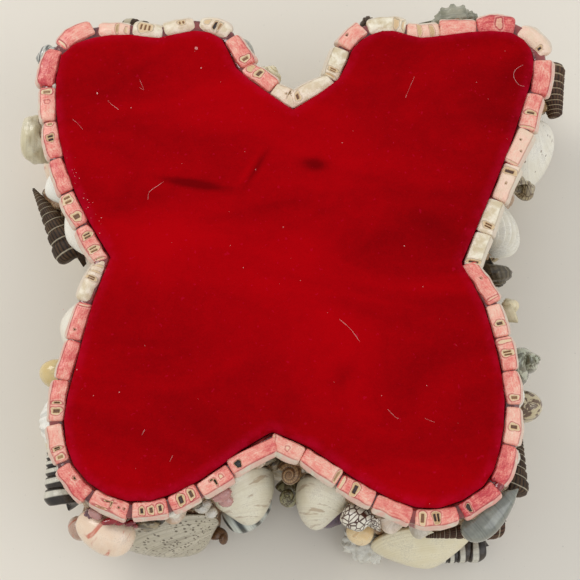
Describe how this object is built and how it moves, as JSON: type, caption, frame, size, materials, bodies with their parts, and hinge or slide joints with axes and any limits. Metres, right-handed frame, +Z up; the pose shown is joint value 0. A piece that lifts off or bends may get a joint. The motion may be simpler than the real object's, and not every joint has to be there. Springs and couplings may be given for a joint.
{
  "type": "shell box",
  "caption": "Butterfly-shaped card trinket box in two halves, its walls covered in sea shells, with a velvet panel edged in ground shell pieces.",
  "frame": {"origin": "on the underside, at the middle of the velvet panel's width and length", "axes": "+Z up, +Y towards the notch between the two upper wings, +X to the right as seen from above with +Y away"},
  "size_m": [0.1875, 0.1857, 0.056],
  "materials": {
    "card": "plain brown card",
    "velvet": "short crimson nap",
    "dyed_shell": "ground shell, stained pink and cream",
    "white_shell": "satin, white with faint growth lines",
    "cream_shell": "satin, cream",
    "peach_shell": "gloss, peach",
    "grey_shell": "satin, grey",
    "mottled_shell": "gloss, cream mottled brown",
    "brown_shell": "satin, brown",
    "dark_shell": "satin, dark brown with pale lines",
    "purple_shell": "gloss, dark purple"
  },
  "bodies": {
    "root": {"bottom_board": "card", "bottom_wall": "card", "top_wall": "card", "top_board": "card", "velvet_liner": "velvet", "floor_pad": "velvet", "velvet_panel": "velvet", "edging_upper_right": "dyed_shell", "edging_lower_right": "dyed_shell", "edging_lower_left": "dyed_shell", "edging_upper_left": "dyed_shell", "fan_clam": "white_shell", "spiky_snail": "grey_shell", "shy_clam": "cream_shell", "ribbed_tower": "dark_shell", "dotted_clam": "white_shell", "netted_snail": "brown_shell", "grooved_clam": "white_shell", "dark_snail": "dark_shell", "mottled_turban": "mottled_shell", "mottled_cowrie": "mottled_shell", "dark_tower": "dark_shell", "lipped_snail": "grey_shell", "brown_tower": "brown_shell", "big_clam": "cream_shell", "net_cone": "brown_shell", "pale_clam": "white_shell", "brown_snail": "brown_shell", "white_clam": "white_shell", "peach_cowrie": "peach_shell", "ribbed_clam": "cream_shell", "left_banded_tower": "dark_shell", "grey_ribbed_clam": "white_shell", "yellow_cowrie": "cream_shell", "bright_clam": "white_shell", "left_tower": "dark_shell", "knobbly_turban": "cream_shell", "striped_turban": "grey_shell", "tucked_clam": "cream_shell", "top_tower": "dark_shell", "long_clam": "white_shell", "grey_clam": "grey_shell", "cream_snail": "cream_shell", "low_clam_1": "cream_shell", "low_tower_1": "brown_shell", "low_clam_2": "white_shell", "low_clam_3": "grey_shell", "low_turban_1": "mottled_shell", "low_clam_4": "white_shell", "low_cowrie_1": "mottled_shell", "banded_tower": "dark_shell", "rough_cluster": "grey_shell", "purple_olive": "purple_shell", "striped_olive": "grey_shell", "low_clam_5": "cream_shell", "low_clam_6": "grey_shell", "low_clam_7": "white_shell", "low_cowrie_2": "peach_shell", "low_clam_8": "cream_shell", "low_clam_9": "white_shell"}
  },
  "joints": []
}
